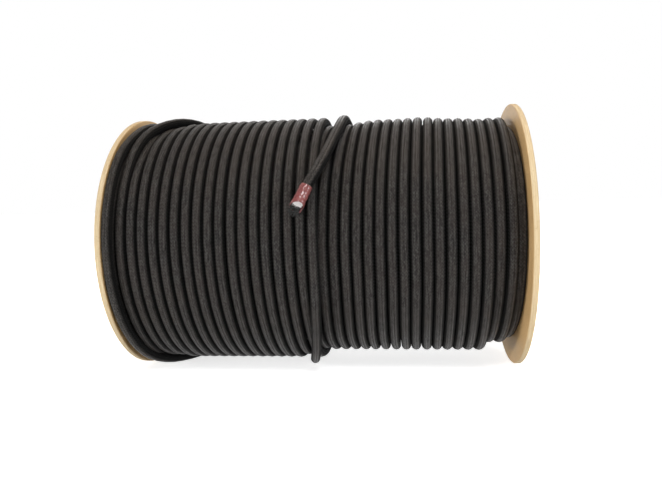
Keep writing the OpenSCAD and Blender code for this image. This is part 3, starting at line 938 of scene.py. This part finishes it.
# %% Shared groups
two_grains, g_in, g_out = new_group(
    "two_grains", ["Vector", "Cloud Scale", "Fleck Scale"], ["Cloud", "Fleck"]
)
for label, detail in (("Cloud", 6.0), ("Fleck", 3.0)):
    two_grains.links.new(grain(two_grains, g_in["Vector"], g_in[f"{label} Scale"], detail), g_out[label])

from_axle, a_in, a_out = new_group("from_axle", ["Vector"], ["Radius", "Turn"])
y, z = split(from_axle, a_in["Vector"])[1:]
flat = joined(from_axle, 0.0, y, z)
radius = put(from_axle, "ShaderNodeVectorMath", {0: flat}, operation="LENGTH").outputs["Value"]
from_axle.links.new(radius, a_out["Radius"])
turn = calc(from_axle, "DIVIDE", calc(from_axle, "ARCTAN2", z, y), 2 * math.pi)
from_axle.links.new(turn, a_out["Turn"])

streaks, s_in, s_out = new_group(
    "streaks", ["U", "V", "U Scale", "V Scale", "Detail", "Roughness"], ["Streak"]
)
u, v = (times(streaks, s_in[side], s_in[f"{side} Scale"]) for side in "UV")
noise_out = grain(streaks, joined(streaks, u, v), 1.0, s_in["Detail"], s_in["Roughness"])
streaks.links.new(noise_out, s_out["Streak"])


def place_in(tree):
    return put(tree, "ShaderNodeTexCoord").outputs["Object"]


def grains(tree, vector, cloud_scale, fleck_scale):
    inputs = {"Vector": vector, "Cloud Scale": cloud_scale, "Fleck Scale": fleck_scale}
    node = put(tree, "ShaderNodeGroup", inputs, node_tree=two_grains)
    return node.outputs["Cloud"], node.outputs["Fleck"]


def drawn_out(tree, u, v, u_scale, v_scale, detail, roughness):
    inputs = {"U": u, "V": v, "U Scale": u_scale, "V Scale": v_scale}
    inputs.update(Detail=detail, Roughness=roughness)
    return put(tree, "ShaderNodeGroup", inputs, node_tree=streaks).outputs["Streak"]


def seen_from_axle(tree, vector):
    node = put(tree, "ShaderNodeGroup", {"Vector": vector}, node_tree=from_axle)
    return node.outputs["Radius"], node.outputs["Turn"]


def bumped(tree, shader, height, strength, distance):
    bump = put(tree, "ShaderNodeBump", {"Strength": strength, "Distance": distance, "Height": height})
    tree.links.new(bump.outputs["Normal"], shader.inputs["Normal"])


# %% [markdown]
# Black cord is never quite black. The backs of the yarns are paler than the gaps between the bundles, where
# painted shade darkens the colour, and their fibres show as fine streaks along the cord. The crown of each
# turn gets a painted highlight, palest along two edges beside its middle, and it is dusty and brown in
# places.
# The flanks, which lie against the next turns, get painted shade: they are painted almost black, and they are
# rough. The light on the crowns could be left to gloss, but a strong gloss would draw one bright line on
# every turn. So that light and shade is painted into the colour, and the shader's gloss is weak.

# %% Cord material
BUNDLES = 12.0
BUNDLE_LENGTH = 0.0024
STREAKS_ALONG, STREAKS_ROUND = 130.0, 26.0
# Near black: the dark patches of the loose yarns, and the painted shade on the cord's flanks.
BLACK_YARN_AND_PAINTED_SHADE = (0.001, 0.001, 0.001, 1)


def cord_material(name, dark, pale, dusty):
    material, tree, shader = new_material(name, Specular_IOR_Level=0.18)
    uv = put(tree, "ShaderNodeUVMap").outputs["UV"]
    metres, way_round = split(tree, uv)[:2]
    inputs = {"Along": metres, "Round": way_round, "Bundles": BUNDLES, "Length": BUNDLE_LENGTH}
    weave = put(tree, "ShaderNodeGroup", inputs, node_tree=braid).outputs
    dust, fibre = grains(tree, place_in(tree), 45.0, 2600.0)
    streak = drawn_out(tree, metres, way_round, STREAKS_ALONG, STREAKS_ROUND, 4.0, 0.7)
    from_crown = calc(tree, "ABSOLUTE", calc(tree, "SUBTRACT", way_round, 0.5))
    # Painted shade: the colour follows the braid's height, so the gaps between bundles are darker.
    tone = times(tree, weave["Height"], plus(tree, weave["Tint"], 0.6))
    tone = times(tree, tone, remap(tree, streak, 0.35, 0.66, 0.15, 2.2))
    # Painted highlight: the crown is paler, most of all along two edges beside its middle.
    tone = times(tree, tone, remap(tree, from_crown, 0.015, 0.065, 0.72, 1.45))
    body = blend(tree, remap(tree, tone, 0.1, 1.8), dark, pale)
    worn = times(tree, remap(tree, dust, 0.35, 0.7), 0.6)
    # Painted shade: away from the crown the flanks are painted almost black.
    painted_shade_on_flanks = remap(tree, from_crown, 0.06, 0.155)
    paint(tree, shader, blend(tree, painted_shade_on_flanks, blend(tree, worn, body, dusty), BLACK_YARN_AND_PAINTED_SHADE))
    gloss = remap(tree, streak, 0.35, 0.68, 0.46, 0.32)
    rough = plus(tree, gloss, times(tree, painted_shade_on_flanks, 0.5))
    tree.links.new(rough, shader.inputs["Roughness"])
    relief = plus(tree, weave["Height"], times(tree, fibre, 0.35))
    relief = plus(tree, relief, times(tree, streak, 0.8))
    bumped(tree, shader, relief, 1.0, 0.0007)
    return material


DARK = (0.003, 0.003, 0.003, 1)
PALE = (0.068, 0.065, 0.062, 1)
DUSTY = (0.050, 0.041, 0.036, 1)
CORD = cord_material("black_braid", DARK, PALE, DUSTY)
for piece in (rope_top, rope_lower, rope_free, rope_inner):
    wear(piece, CORD)

# %% [markdown]
# The loose yarns have no braid left, only fine fibre, and they are a little paler where they fray.

# %% Loose yarn material
YARN, tree, shader = new_material("black_yarn", Roughness=0.6, Specular_IOR_Level=0.2)
cloud, fleck = grains(tree, place_in(tree), 1100.0, 3000.0)
paint(tree, shader, blend(tree, remap(tree, cloud, 0.35, 0.7), BLACK_YARN_AND_PAINTED_SHADE, (0.075, 0.077, 0.076, 1)))
bumped(tree, shader, fleck, 0.5, 0.0001)
wear(end_yarns, YARN)

# %% [markdown]
# Hardboard is pressed wood fibre: a smooth, slightly polished brown face with darker flecks, and a rough pale
# rim where the disc was sawn out. One material does both. The rim is found by its distance from the axle,
# which in Object coordinates is a length in metres. Saw marks run round it, so they are streaks that way:
# their scale is high through the board's thickness and low round the rim.

# %% Hardboard
RIM_STARTS = FLANGE_R - 0.0007
RIM_FULL = FLANGE_R - 0.0001
MARKS_ACROSS, MARKS_ROUND = 2200.0, 34.0
BOARD, tree, shader = new_material("hardboard", Specular_IOR_Level=0.35)
place = place_in(tree)
radius, turn = seen_from_axle(tree, place)
on_rim = remap(tree, radius, RIM_STARTS, RIM_FULL)
cloud, fleck = grains(tree, place, 24.0, 520.0)
face = blend(tree, stretched(tree, cloud), (0.52, 0.325, 0.135, 1), (0.64, 0.42, 0.195, 1))
face = blend(tree, remap(tree, fleck, 0.55, 0.8, 0.0, 0.55), face, (0.19, 0.11, 0.055, 1))
marks = drawn_out(tree, split(tree, place)[0], turn, MARKS_ACROSS, MARKS_ROUND, 3.0, 0.6)
sawn = blend(tree, stretched(tree, marks), (0.56, 0.42, 0.24, 1), (0.74, 0.62, 0.41, 1))
sawn = blend(tree, remap(tree, fleck, 0.6, 0.8, 0.0, 0.5), sawn, (0.42, 0.27, 0.12, 1))
paint(tree, shader, blend(tree, on_rim, face, sawn))
rough = remap(tree, plus(tree, cloud, on_rim), 0.3, 1.4, 0.5, 0.85)
tree.links.new(rough, shader.inputs["Roughness"])
relief = plus(tree, times(tree, fleck, 0.7), times(tree, marks, on_rim))
bumped(tree, shader, relief, 0.4, 0.0003)
for name in ("flange_left", "flange_right"):
    wear(NODES[name], BOARD)

# %% [markdown]
# The tube is kraft cardboard wound from strips in a spiral. Each strip's edge is a thin dark line that climbs
# round the tube, so it depends on the distance along the axle plus the turn round it, like a thread.

# %% Kraft tube
STRIP_LEAD = 0.11
STRIP_SEAM = 0.985
KRAFT, tree, shader = new_material("kraft_tube", Roughness=0.85, Specular_IOR_Level=0.2)
place = place_in(tree)
turn = seen_from_axle(tree, place)[1]
cloud, fleck = grains(tree, place, 60.0, 900.0)
climb = calc(tree, "DIVIDE", split(tree, place)[0], STRIP_LEAD)
strip = calc(tree, "FRACT", plus(tree, climb, turn))
seam = calc(tree, "GREATER_THAN", strip, STRIP_SEAM)
paper = blend(tree, stretched(tree, cloud), (0.30, 0.195, 0.105, 1), (0.42, 0.29, 0.17, 1))
paper = blend(tree, remap(tree, fleck, 0.55, 0.75, 0.0, 0.5), paper, (0.20, 0.12, 0.06, 1))
paint(tree, shader, blend(tree, times(tree, seam, 0.7), paper, (0.09, 0.055, 0.03, 1)))
bumped(tree, shader, calc(tree, "SUBTRACT", fleck, seam), 0.4, 0.0002)
wear(NODES["core_tube"], KRAFT)

# %% [markdown]
# Rods, washers and nuts are zinc-plated steel. The plating is bluish, a little cloudy, and covered in fine
# marks.

# %% Zinc
ZINC, tree, shader = new_material("zinc_steel", Metallic=1.0)
cloud, fleck = grains(tree, place_in(tree), 160.0, 2400.0)
paint(tree, shader, blend(tree, stretched(tree, cloud), (0.50, 0.515, 0.53, 1), (0.70, 0.69, 0.67, 1)))
marks = plus(tree, times(tree, fleck, 0.5), cloud)
tree.links.new(remap(tree, marks, 0.4, 1.1, 0.24, 0.46), shader.inputs["Roughness"])
bumped(tree, shader, fleck, 0.15, 0.00005)
for piece in zinc_pieces:
    wear(piece, ZINC)
print("zinc on", len(zinc_pieces), "pieces")

# %% [markdown]
# The red tape is glossy plastic film gone dusty. The gloss is a thin clear coat over a film that is duller in
# patches, and pale flecks of dust lie on it.

# %% Red tape
RED, tree, shader = new_material("red_tape", Coat_Weight=0.7, Coat_Roughness=0.05, Specular_IOR_Level=0.2)
cloud, fleck = grains(tree, place_in(tree), 330.0, 2200.0)
film = blend(tree, stretched(tree, cloud), (0.13, 0.029, 0.031, 1), (0.27, 0.085, 0.082, 1))
paint(tree, shader, blend(tree, remap(tree, fleck, 0.5, 0.8, 0.0, 0.4), film, (0.42, 0.27, 0.24, 1)))
tree.links.new(remap(tree, cloud, 0.3, 0.7, 0.22, 0.5), shader.inputs["Roughness"])
bumped(tree, shader, cloud, 0.8, 0.0007)
wear(end_tape, RED)

# %% [markdown]
# The strands are latex rubber dusted with chalk, which keeps them from sticking together.

# %% Latex strands
LATEX, tree, shader = new_material("latex_strands", Roughness=0.5)
cloud, fleck = grains(tree, place_in(tree), 700.0, 3200.0)
paint(tree, shader, blend(tree, stretched(tree, cloud), (0.90, 0.89, 0.91, 1), (0.96, 0.95, 0.96, 1)))
bumped(tree, shader, fleck, 0.2, 0.0001)
wear(end_strands, LATEX)

# %% [markdown]
# The reel stands on white paper. To the eye the paper is white out to the horizon, and only the reel's shadow
# is seen on it. So the camera gets most of its brightness as a glow, and the rest from real light, which the
# shadow takes away. The glow grows with the distance from the reel, where the lamps no longer reach.
# Reflections show the same paper. All other rays get a fifth of the glow, so that the floor doesn't light the
# reel much from below.

# %% Floor
GLOW_NEAR, GLOW_FAR = 0.74, 1.0
NEAR_REEL, FAR_FROM_REEL = 0.18, 0.8
GLOW_FOR_OTHERS = 0.2
sheet = bmesh.new()
bmesh.ops.create_grid(sheet, x_segments=1, y_segments=1, size=6)
bmesh.ops.translate(sheet, verts=sheet.verts, vec=(0, 0, FLOOR_Z))
floor = piece_from("floor", sheet)
PAPER, tree, shader = new_material(
    "paper_floor",
    Base_Color=(0.9, 0.9, 0.9, 1),
    Roughness=0.9,
    Specular_IOR_Level=0.1,
    Emission_Color=(1, 1, 1, 1),
)
away = put(tree, "ShaderNodeVectorMath", {0: place_in(tree)}, operation="LENGTH").outputs["Value"]
path = put(tree, "ShaderNodeLightPath").outputs
seen = calc(tree, "MAXIMUM", path["Is Glossy Ray"], GLOW_FOR_OTHERS)
seen = calc(tree, "MAXIMUM", path["Is Camera Ray"], seen)
glow = remap(tree, away, NEAR_REEL, FAR_FROM_REEL, GLOW_NEAR, GLOW_FAR)
tree.links.new(times(tree, glow, seen), shader.inputs["Emission Strength"])
wear(floor, PAPER)

# %% [markdown]
# The room is a white backdrop behind the reel and dim in front of it. So a surface that faces the front is
# lit by little but the lamps, and one that is seen at a slant shows the white behind. The world knows which
# way a ray goes, and its strength grows from the front to the back, most for reflections. The camera itself
# sees white all round.

# %% World
ROOM_FRONT, ROOM_BACK = 0.04, 0.55
MORE_FOR_GLOSS = 0.45
world = bpy.data.worlds.new("studio")
world.use_nodes = True
bpy.context.scene.world = world
tree = world.node_tree
sky = tree.nodes["Background"]
towards = put(tree, "ShaderNodeTexCoord").outputs["Generated"]
back = split(tree, towards)[1]
path = put(tree, "ShaderNodeLightPath").outputs
bright = plus(tree, ROOM_BACK, times(tree, path["Is Glossy Ray"], MORE_FOR_GLOSS))
room = remap(tree, back, -0.1, 0.8, ROOM_FRONT, bright)
white = calc(tree, "MAXIMUM", path["Is Camera Ray"], path["Is Transmission Ray"])
tree.links.new(calc(tree, "MAXIMUM", room, white), sky.inputs["Strength"])
sky.inputs["Color"].default_value = (1, 1, 1, 1)
print("world:", world.name)

# %% [markdown]
# The main lamp is small and close. It hangs above the camera's line of sight, a little nearer to the reel
# than the camera, so the crown of every turn is lit and both its flanks fall off into the dark. A low lamp at
# each side lights the flanges, a warm one high above lights the top of the reel and the rims, and a weak one
# behind keeps the back from going black. Powers are in watts.

# %% Lamps
def soft_lamp(name, place, size, power, colour=(1, 1, 1)):
    """A round soft lamp that is aimed at the middle of the reel."""
    data = bpy.data.lights.new(name, "AREA")
    data.shape = "DISK"
    data.size = size
    data.energy = power
    data.color = colour
    lamp = bpy.data.objects.new(name, data)
    place = Vector(place)
    lamp.matrix_world = Matrix.Translation(place) @ place.to_track_quat("Z", "Y").to_matrix().to_4x4()
    bpy.context.scene.collection.objects.link(lamp)


soft_lamp("key", (0.09, -0.40, 0.27), 0.12, 0.95)
soft_lamp("side_left", (-1.15, -0.75, 0.15), 0.4, 9)
soft_lamp("side_right", (1.20, -0.70, 0.15), 0.4, 6)
soft_lamp("top", (0.1, 0.25, 1.2), 0.6, 9, (1.0, 0.82, 0.66))
soft_lamp("back", (0.0, 1.2, 0.4), 0.6, 3)
print("lamps:", len(bpy.data.lights))
bpy.context.scene.view_settings.view_transform = "Standard"
